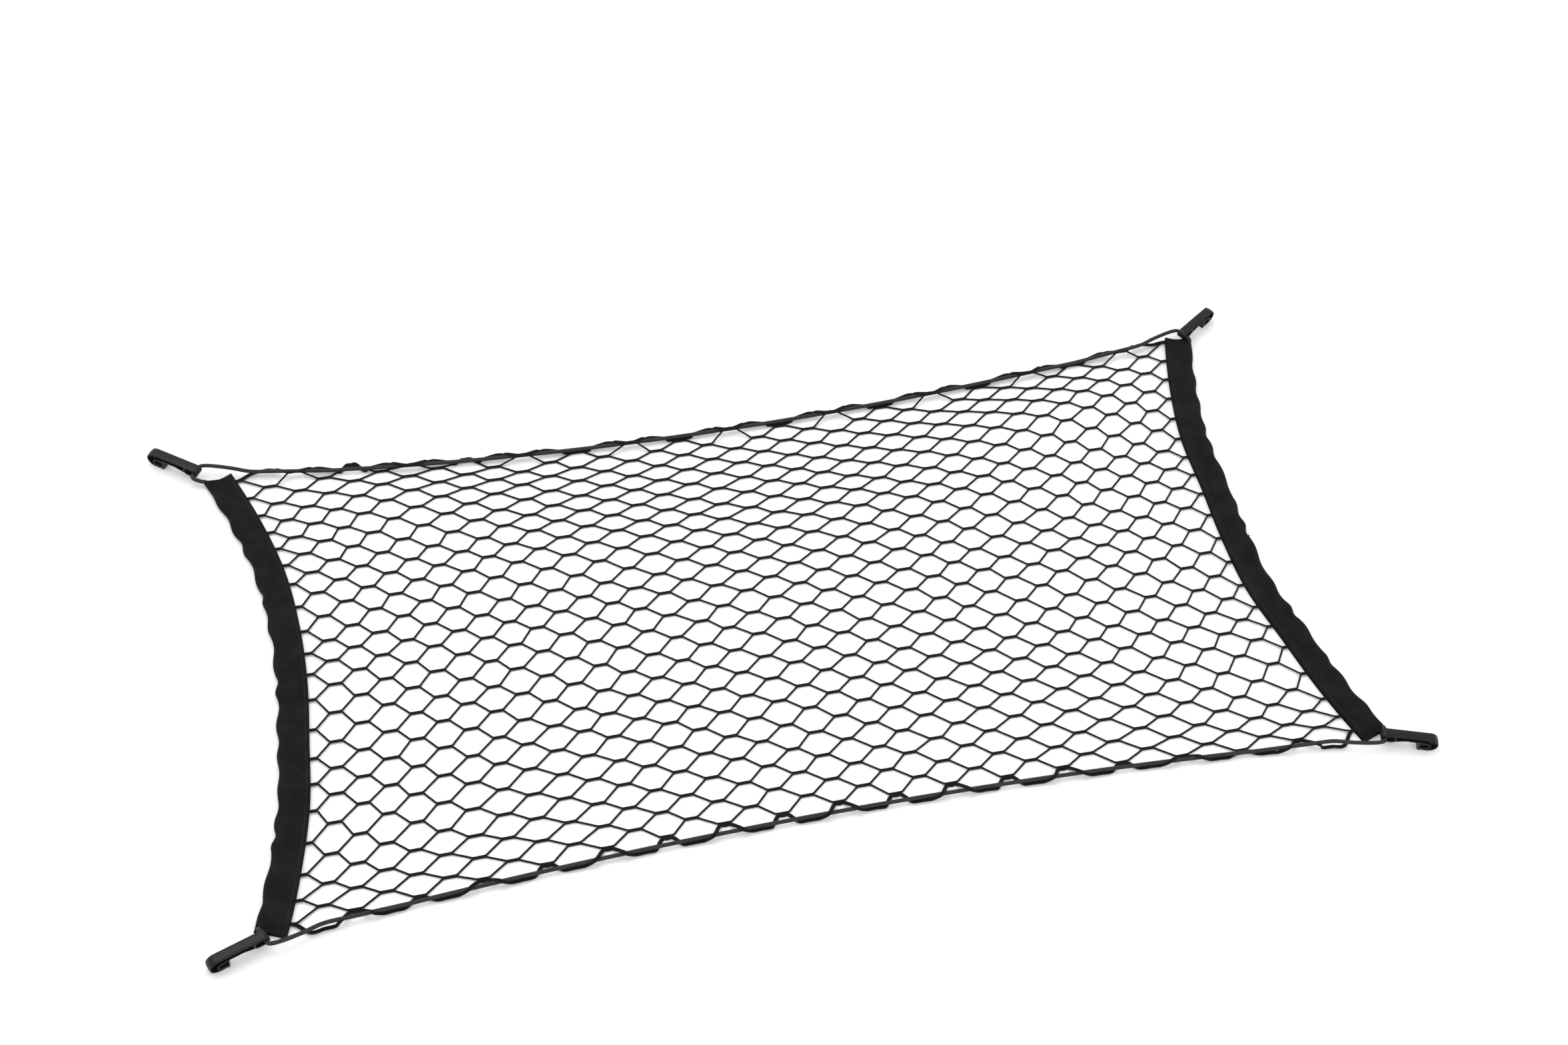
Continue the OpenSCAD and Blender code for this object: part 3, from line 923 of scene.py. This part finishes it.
def cord_route(lay):
    """The loop of cord: back run, right band, front run, left band."""

    def run(edge, reverse):
        span = lay.corners[edge + "_right"].eye[0] - lay.corners[edge + "_left"].eye[0]
        t = np.linspace(55 / span, 1 - 55 / span, 40)
        eye_z = lay.corners[edge + "_left"].eye[2]
        near = np.minimum(t, 1 - t) * span
        z = CORD_Z + (eye_z - CORD_Z) * np.maximum(0.0, 1 - near / CORD_DROP)
        pts = [np.array([*lay.run(edge, k), height]) for k, height in zip(t, z)]
        return pts[::-1] if reverse else pts

    def tunnel(side):
        band = lay.bands[side]
        extra = math.radians(0.25) / band.sweep
        shares = np.linspace(-extra, 1 + extra, 40)
        inward = -(BAND_W / 2 + BAND_WIDER[side] - FOLD_R)
        return [np.array([*band.at(k, inward), FOLD_R]) for k in shares]

    def leg(corner, way, target):
        w = corner.to_long_run * way
        first = corner.cord + w * 6.5
        out = corner.cord + w * 12.5
        return [bend(first, out, target, t) for t in (0, 0.2, 0.4, 0.6, 0.8)]

    def corner_points(name, before, after, long_first):
        c = lay.corners[name]
        a = leg(c, 1 if long_first else -1, before)
        b = leg(c, -1 if long_first else 1, after)
        return a[::-1] + [c.cord] + b

    back, front = run("back", False), run("front", True)
    right, left = tunnel("right"), tunnel("left")
    return np.array(
        back
        + corner_points("back_right", back[-1], right[0], True)
        + right
        + corner_points("front_right", right[-1], front[0], False)
        + front
        + corner_points("front_left", front[-1], left[0], True)
        + left
        + corner_points("back_left", left[-1], back[0], False)
    )


def build_cord(props):
    lay = Layout()
    look = props.cord
    route = cord_route(lay)
    wrapped = np.vstack([route[-2:], route, route[:3]])
    path = smooth_path(wrapped, look.step)
    first = int(np.argmin(np.linalg.norm(path - route[0], axis=1)[: len(path) // 2]))
    after = len(path) // 2
    last = after + int(np.argmin(np.linalg.norm(path[after:] - route[0], axis=1)))
    obj = baked(
        line_object("elastic_loop", [path[first:last]], closed=True),
        {
            "Radius": look.diameter / 2 * MM,
            "Step": look.step * MM,
            "Sides": 12,
            "Swell": 0.0,
            "Pitch": BRAID_PITCH * MM,
            "Material": material("cord"),
        },
        tree("Strands", strand_tree),
    )
    shaded(obj, material("cord"))
    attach(obj, "net")
    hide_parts("elastic_cord")
    return [obj]


# ---------------------------------------------------------------- webbing bands


# From a band's end: over how far gathers fade in, its reach fades out, and its
# corners' points fade out; and how far those points stick out
GATHER_FADE = 25.0
REACH_FADE = 14.0
POINT_FADE = 3.0
POINT = 1.8
# From the inner edge to the seam, and the cross seam's share of the right band
SEAM_IN = 3.6
CROSS_SEAM_AT = 0.45
STITCH = {"Pitch": 2.9, "Length": 2.5, "Radius": 0.34}


def top_height(x, half):
    """Height of the smooth top of a band of that half width, at a distance inward."""
    fold_x = FOLD_R - half
    share = min(max((x - fold_x) / (FLAT_FROM - fold_x), 0.0), 1.0)
    share = share * share * (3 - 2 * share)
    return 2 * FOLD_R + (TOP_Z - 2 * FOLD_R) * share


def band_section(side):
    """The folded strip's outer and inner outline, as (distance inward, height)."""
    half = BAND_W / 2 + BAND_WIDER[side]
    fold_x = FOLD_R - half
    outer, inner = [], []
    for x in np.linspace(half, fold_x, 8, endpoint=False):
        outer.append((x, 0.0))
        inner.append((x, WEB_T))
    for a in np.linspace(-90, -270, 11):
        c, s = math.cos(math.radians(a)), math.sin(math.radians(a))
        outer.append((fold_x + FOLD_R * c, FOLD_R + FOLD_R * s))
        inner.append((fold_x + TUNNEL_R * c, FOLD_R + TUNNEL_R * s))
    for x in np.linspace(fold_x, half, 15)[1:]:
        top = top_height(x, half)
        outer.append((x, top))
        inner.append((x, top - WEB_T))
    return np.array(outer), np.array(inner)


def cloth_object(name, points, cloth, ring):
    """A closed strip of rings of points, with its own flat coordinates."""
    n = len(points) // ring - 1
    faces = []
    for m in range(n):
        for k in range(ring):
            k2 = (k + 1) % ring
            here, there = m * ring, (m + 1) * ring
            faces.append((here + k, here + k2, there + k2, there + k))
    for m, flip in ((0, False), (n, True)):
        first, last = m * ring, (m + 1) * ring - 1
        for k in range(ring // 2 - 1):
            quad = [first + k, last - k, last - k - 1, first + k + 1]
            faces.append(tuple(quad[::-1] if flip else quad))
    mesh = bpy.data.meshes.new(name)
    mesh.from_pydata(points.tolist(), [], faces)
    layer = mesh.uv_layers.new(name="cloth")
    index = np.empty(len(mesh.loops), int)
    mesh.loops.foreach_get("vertex_index", index)
    layer.data.foreach_set("uv", cloth[index].astype(np.float32).ravel())
    return shaded(linked(name, recalculated(mesh)), material("webbing"))


def band_rings(band, side, look):
    """Points in rings round the webbing, their flat coordinates, and its girth."""
    rng = np.random.default_rng(SEED + (1 if side == "left" else 2))
    outer, inner = band_section(side)
    wide = BAND_W + 2 * BAND_WIDER[side]
    n = int(band.length / look.station)
    shares = np.linspace(0, 1, n + 1)
    s = shares * band.length
    # Gathers: an uneven wave along the band
    gathers = int(band.length / look.gather_pitch)
    knots = np.linspace(0, band.length, gathers + 1)
    knots[1:-1] += rng.uniform(-0.25, 0.25, gathers - 1) * look.gather_pitch
    phase = np.interp(s, knots, np.arange(gathers + 1)) * math.tau
    strength = np.interp(s, knots, rng.uniform(0.55, 1.25, gathers + 1))
    wave = np.sin(phase) * strength
    gathered = np.clip(0.5 + 0.9 * np.sin(phase + 0.9) * strength, 0.08, 1.0)
    from_end = np.minimum(s, band.length - s)
    taper = np.clip(from_end / GATHER_FADE, 0.0, 1.0)
    verts, uvs = [], []
    girth = np.concatenate([[0], np.cumsum(np.linalg.norm(np.diff(outer, axis=0), axis=1))])
    around = np.concatenate([girth, girth[::-1]])
    is_outer = np.arange(2 * len(outer)) < len(outer)
    for m in range(n + 1):
        a = band.start + band.sweep * shares[m]
        radial = np.array([math.cos(a), math.sin(a)])
        loop = np.vstack([outer, inner[::-1]])
        x, z = loop[:, 0].copy(), loop[:, 1].copy()
        on_top = np.clip((z - 2.2) / 2.0, 0, 1)
        to_fold = np.clip((4.0 - x) / 16.0, 0, 1)
        across = (wide / 2 - x) / wide
        x -= look.gather_out * wave[m] * to_fold**1.5 * taper[m]
        lean = 0.6 * math.sin(phase[m] * 0.5 + 1.3)
        hump = np.sin(np.pi * np.clip(across, 0, 1)) ** 1.2
        lift = look.gather_up * (0.5 + 0.5 * wave[m]) * hump
        z += on_top * lift * taper[m]
        rib_at = s[m] + lean * np.sin(math.pi * across) * 1.6
        rib = 0.5 - 0.5 * np.cos(math.tau * rib_at / look.rib_pitch)
        middle = np.sin(np.pi * np.clip(across * 1.05, 0, 1))
        depth = look.rib_depth * gathered[m] * (0.35 + 0.65 * middle)
        z -= np.where(is_outer & (z > 3.0), depth * rib, 0.0)
        round_part = is_outer & (x < -wide / 2 + FOLD_R) & (z < 7.0)
        x += np.where(round_part, depth * rib * 0.8, 0.0)
        # Square cut ends, pulled to small points
        pull = math.exp(-from_end[m] / POINT_FADE)
        tangent = np.array([-radial[1], radial[0]]) * (-1 if shares[m] < 0.5 else 1)
        p = band.c + (band.r + band.stray(shares[m]) + x)[:, None] * radial
        ends = ("front_" if (shares[m] < 0.5) == (side == "left") else "back_") + side
        reach = END_REACH[ends] * math.exp(-((from_end[m] / REACH_FADE) ** 2))
        p = p + tangent * (reach + POINT * pull * (np.abs(x) / (wide / 2)) ** 3)[:, None]
        verts.append(np.column_stack([p, np.maximum(z, 0.02)]))
        uvs.append(np.column_stack([np.full(len(loop), s[m]), around]) * MM)
    return np.vstack(verts) * MM, np.vstack(uvs), len(verts[0]), float(girth[-1])


def build_band(props, side):
    """One band as a folded sheet, with the stitches of its seams."""
    band = Layout().bands[side]
    points, cloth, ring, girth = band_rings(band, side, props.band)
    obj = cloth_object("webbing_" + side, points, cloth, ring)
    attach(obj, "net")
    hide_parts("band_" + side)
    wide = BAND_W + 2 * BAND_WIDER[side]
    seams = {"seam_" + side: [seam_line(band, 0.015, 0.985, wide / 2 - SEAM_IN)]}
    if side == "right":
        seams["cross_seam"] = [
            np.array(
                [
                    [*band.at(CROSS_SEAM_AT, x), top_height(x, BAND_W / 2) + 0.75]
                    for x in np.linspace(-6.0, 8.0, 15)
                ]
            )
        ]
    made = [obj]
    for node, lines in seams.items():
        stitches = baked(
            line_object("stitches_" + node, lines),
            {**{k: v * MM for k, v in STITCH.items()}, "Material": material("thread")},
            tree("Stitches", stitch_tree),
        )
        shaded(stitches, material("thread"))
        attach(stitches, "net")
        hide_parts(node)
        made.append(stitches)
    return made


def build_bands(props):
    """Both bands, with their stitches."""
    return build_band(props, "left") + build_band(props, "right")


def seam_line(band, a, b, inward):
    """Points of a seam between two shares of the band's arc."""
    return np.array([[*band.at(k, inward), TOP_Z + 0.12] for k in np.linspace(a, b, 200)])


# ---------------------------------------------------------------- hooks and gates


def arc(centre, r, start, end, n):
    a = np.radians(np.linspace(start, end, n))
    return np.column_stack([centre[0] + r * np.cos(a), centre[1] + r * np.sin(a)])


def slab(name, outlines, width, bevel):
    """A flat profile with rounded edges, as a mesh in the hook's own axes."""
    curve = bpy.data.curves.new(name, "CURVE")
    curve.dimensions = "2D"
    curve.fill_mode = "BOTH"
    curve.extrude = (width / 2 - bevel) * MM
    curve.bevel_depth = bevel * MM
    curve.bevel_resolution = 2
    curve.offset = -bevel * MM
    for outline in outlines:
        spline = curve.splines.new("POLY")
        spline.points.add(len(outline) - 1)
        flat = np.zeros((len(outline), 4))
        flat[:, :2] = np.asarray(outline) * MM
        flat[:, 3] = 1.0
        spline.points.foreach_set("co", flat.ravel())
        spline.use_cyclic_u = True
    shape = linked(name, curve)
    bpy.context.view_layer.update()
    graph = bpy.context.evaluated_depsgraph_get()
    mesh = bpy.data.meshes.new_from_object(shape.evaluated_get(graph))
    bpy.data.objects.remove(shape)
    bpy.data.curves.remove(curve)
    return mesh


# In the hook's own axes: along from the eye, and up
NOSE_R = 8.6
NOSE_C = (HOOK_REACH - NOSE_R, EYE_OUT - NOSE_R)
STRIP_T = 1.6
STRIP_X = (9.9, 20, 32)
LEG_LEN = 6.3
LEG_TIP = NOSE_C[0] - LEG_LEN
UNDER = EYE_OUT - 2 * NOSE_R
# Where the eye's round wall meets the strip, in degrees
EYE_MEETS = 43.8
# Room for the gate: before the nose's inside, to the hook, and to the leg's tip
POCKET = 5.8
GATE_CLEAR = 0.3
LIP_GAP = 0.9
LIP_LEN = 3.7
LIP_DROP = 0.2


def hook_outlines():
    """The strip's outline and the eye's slot."""
    outer = np.vstack(
        [
            arc((0, 0), EYE_OUT, 90, 270, 25),
            arc((EYE_SLOT, 0), EYE_OUT, -90, EYE_MEETS, 18),
            [(x, EYE_OUT - STRIP_T) for x in STRIP_X],
            arc(NOSE_C, NOSE_R - STRIP_T, 90, -90, 25),
            [(LEG_TIP, UNDER + STRIP_T), (LEG_TIP, UNDER)],
            arc(NOSE_C, NOSE_R, -90, 90, 29),
            [(x, EYE_OUT) for x in STRIP_X[::-1]],
        ]
    )
    hole = np.vstack([arc((0, 0), EYE_R, 90, 270, 21), arc((EYE_SLOT, 0), EYE_R, -90, 90, 21)])
    return outer, hole[::-1]


def gate_outlines():
    """The gate's shell, its window, its inner web and the fill of its round end."""
    rise, thick, gate_r = 0.6, 1.5, 4.4
    gate_c = (HOOK_REACH - STRIP_T - POCKET - gate_r, UNDER + STRIP_T + GATE_CLEAR + gate_r)
    lip_front = LEG_TIP - LIP_GAP
    lip_back = lip_front - LIP_LEN
    floor = UNDER - LIP_DROP
    knee = np.array([EYE_SLOT + 15, rise])
    root = arc((EYE_SLOT, 0), EYE_OUT + GATE_CLEAR, -22, -38, 5)
    shell = np.vstack(
        [
            root[::-1],
            [knee + (-5, -1), knee, knee + (12, -0.2)],
            arc(gate_c, gate_r, 90, -90, 21),
            [(lip_front, gate_c[1] - gate_r), (lip_front, floor), (lip_back, floor)],
            [(lip_back, rise - thick - 0.05)],
            [knee - (0, thick), knee + (-4.4, -1 - thick)],
        ]
    )
    window = np.vstack(
        [
            [
                (lip_back + thick, gate_c[1] - gate_r + thick),
                (lip_back + thick, rise - thick - 0.5),
            ],
            arc(gate_c, gate_r - thick, 90, -90, 17),
        ]
    )
    web = np.array(
        [
            root[2] + (1.0, -1.2),
            knee + (-4.6, -2.0),
            knee + (0, -1.0),
            (lip_back + 0.5, rise - 1.0),
            (lip_back + 0.5, -gate_c[0] * 0.15),
            root[2] + (0.8, -2.6),
        ]
    )
    fill = np.vstack(
        [
            [(lip_back + 1, gate_c[1] - gate_r + 1), (lip_back + 1, rise - thick)],
            arc(gate_c, gate_r - thick / 2, 90, -90, 17),
        ]
    )
    return shell, window[::-1], web, fill


def crown(mesh, amount, width):
    """Rounds the strip's outer face across its width."""
    work = bmesh.new()
    work.from_mesh(mesh)
    bmesh.ops.remove_doubles(work, verts=work.verts, dist=1e-6)
    for w in (-0.72, -0.4, 0.0, 0.4, 0.72):
        geometry = work.verts[:] + work.edges[:] + work.faces[:]
        bmesh.ops.bisect_plane(
            work, geom=geometry, plane_co=(0, 0, w * width / 2 * MM), plane_no=(0, 0, 1)
        )
    nose = Vector((NOSE_C[0], NOSE_C[1]))
    for v in work.verts:
        u, h = v.co.x / MM, v.co.y / MM
        drop = amount * (v.co.z / MM / (width / 2)) ** 2
        if h > EYE_OUT - 0.9 and u <= NOSE_C[0]:
            v.co.y -= drop * MM
        elif u > NOSE_C[0]:
            away = Vector((u, h)) - nose
            if away.length > NOSE_R - 0.9:
                away.normalize()
                v.co.x -= away.x * drop * MM
                v.co.y -= away.y * drop * MM
    bmesh.ops.recalc_face_normals(work, faces=work.faces)
    work.to_mesh(mesh)
    work.free()


def placed(name, meshes, corner):
    """Joins meshes in the hook's axes and puts them at their corner."""
    work = bmesh.new()
    for mesh in meshes:
        work.from_mesh(mesh)
        bpy.data.meshes.remove(mesh)
    bmesh.ops.remove_doubles(work, verts=work.verts, dist=1e-7)
    bmesh.ops.recalc_face_normals(work, faces=work.faces)
    h, w = corner.heading, corner.across
    turn = Matrix(
        (
            (h[0], 0, w[0], corner.eye[0] * MM),
            (h[1], 0, w[1], corner.eye[1] * MM),
            (0, 1, 0, corner.eye[2] * MM),
            (0, 0, 0, 1),
        )
    )
    bmesh.ops.transform(work, matrix=turn, verts=work.verts)
    mesh = bpy.data.meshes.new(name)
    work.to_mesh(mesh)
    work.free()
    obj = shaded(linked(name, mesh), material("plastic"))
    mesh.set_sharp_from_angle(angle=math.radians(38))
    return obj


def build_hooks(props):
    lay = Layout()
    look = props.hook
    width = HOOK_W
    made = []
    for name, corner in lay.corners.items():
        strip = slab("strip", hook_outlines(), width, look.bevel)
        crown(strip, look.crown, width)
        hook = placed("snap_hook_" + name, [strip], corner)
        shell, window, web, fill = gate_outlines()
        tongue = placed(
            "snap_gate_" + name,
            [
                slab("shell", (shell, window), width, look.bevel * 0.7),
                slab("web", (web,), 0.3 * width, 0.2),
                slab("fill", (fill,), 0.6 * width, 0.2),
            ],
            corner,
        )
        for obj, body in ((hook, "hook_" + name), (tongue, "gate_" + name)):
            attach(obj, body)
            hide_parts(body)
            made.append(obj)
    return made


# ---------------------------------------------------------------- stage


# The camera's place and axes, solved from the photograph's perspective, in metres
CAMERA_AT = (-0.56586, -1.40808, 1.99013)
CAMERA_AXES = (
    (0.96174, -0.25700, 0.09491),
    (0.14347, 0.76758, 0.62468),
    (-0.23340, -0.58717, 0.77509),
)
FLOOR_REACH = 8.0


def area_light(name, place, target, size, power):
    data = bpy.data.lights.new(name, "AREA")
    data.shape = "RECTANGLE"
    data.size, data.size_y = size
    data.energy = power
    obj = linked(name, data)
    obj.location = place
    obj.rotation_euler = (Vector(target) - Vector(place)).to_track_quat("-Z", "Y").to_euler()
    return obj


def build_stage(props):
    look = props.stage
    scene = bpy.context.scene
    mesh = bpy.data.meshes.new("floor")
    corners = [
        (x * FLOOR_REACH, y * FLOOR_REACH, 0) for x, y in ((-1, -1), (1, -1), (1, 1), (-1, 1))
    ]
    mesh.from_pydata(corners, [], [(0, 1, 2, 3)])
    floor = linked("floor", mesh)
    mesh.materials.append(Shader("White paper", (0.9, 0.9, 0.9), 0.9, 0.1).material)
    scene.view_settings.view_transform = "Standard"
    world = bpy.data.worlds.new("Studio")
    world.use_nodes = True
    sky = world.node_tree.nodes["Background"]
    sky.inputs["Color"].default_value = (1, 1, 1, 1)
    sky.inputs["Strength"].default_value = look.sky
    scene.world = world
    lights = [
        area_light("key", (-0.6, 0.9, 2.4), (0, 0, 0), (2.4, 1.6), look.key),
        area_light("fill", (1.8, -1.6, 1.6), (0, 0, 0), (1.6, 1.2), look.fill),
    ]
    camera = bpy.data.cameras.new("camera")
    camera.lens = look.lens
    camera.sensor_width = 36.0
    camera.clip_start, camera.clip_end = 0.05, 50.0
    eye = linked("camera", camera)
    turn = Matrix(CAMERA_AXES).transposed().to_4x4()
    eye.matrix_world = Matrix.Translation(CAMERA_AT) @ turn
    scene.camera = eye
    return [floor, *lights, eye]


# ---------------------------------------------------------------- add-on


class CargoNet(bpy.types.PropertyGroup):
    netting: bpy.props.PointerProperty(type=NettingLook)
    selvedge: bpy.props.PointerProperty(type=SelvedgeLook)
    band: bpy.props.PointerProperty(type=BandLook)
    cord: bpy.props.PointerProperty(type=CordLook)
    hook: bpy.props.PointerProperty(type=HookLook)
    stage: bpy.props.PointerProperty(type=StageLook)


class Builder:
    """Shared by the operators: builds one group from the scene's settings."""

    def execute(self, context):
        self.build(context.scene.cargo_net)
        return {"FINISHED"}


class NET_OT_cord(Builder, bpy.types.Operator):
    """Build the loop of elastic cord"""

    bl_idname = "cargo_net.cord"
    bl_label = "Elastic cord"
    build = staticmethod(build_cord)


class NET_OT_netting(Builder, bpy.types.Operator):
    """Build the knitted netting with its wound edges"""

    bl_idname = "cargo_net.netting"
    bl_label = "Netting"
    build = staticmethod(build_netting)


class NET_OT_bands(Builder, bpy.types.Operator):
    """Build the gathered webbing bands and their seams"""

    bl_idname = "cargo_net.bands"
    bl_label = "Webbing bands"
    build = staticmethod(build_bands)


class NET_OT_hooks(Builder, bpy.types.Operator):
    """Build the snap hooks and their gates"""

    bl_idname = "cargo_net.hooks"
    bl_label = "Snap hooks"
    build = staticmethod(build_hooks)


class NET_OT_stage(Builder, bpy.types.Operator):
    """Build the floor, the lights and the camera"""

    bl_idname = "cargo_net.stage"
    bl_label = "Stage"
    build = staticmethod(build_stage)


OPERATORS = (NET_OT_cord, NET_OT_netting, NET_OT_bands, NET_OT_hooks, NET_OT_stage)


class NET_PT_panel(bpy.types.Panel):
    """Buttons for each piece of the net"""

    bl_idname = "NET_PT_panel"
    bl_label = "Cargo net"
    bl_space_type = "VIEW_3D"
    bl_region_type = "UI"
    bl_category = "Cargo net"

    def draw(self, context):
        for operator in OPERATORS:
            self.layout.operator(operator.bl_idname)


CLASSES = (
    NettingLook,
    SelvedgeLook,
    BandLook,
    CordLook,
    HookLook,
    StageLook,
    CargoNet,
    *OPERATORS,
    NET_PT_panel,
)


def register():
    for cls in CLASSES:
        bpy.utils.register_class(cls)
    bpy.types.Scene.cargo_net = bpy.props.PointerProperty(type=CargoNet)


def unregister():
    del bpy.types.Scene.cargo_net
    for cls in reversed(CLASSES):
        bpy.utils.unregister_class(cls)


def main():
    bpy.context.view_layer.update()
    register()
    for operator in OPERATORS:
        group, name = operator.bl_idname.split(".")
        done = getattr(getattr(bpy.ops, group), name)()
        if done != {"FINISHED"}:
            raise RuntimeError(f"{operator.bl_label} was not built")


if __name__ == "__main__":
    main()
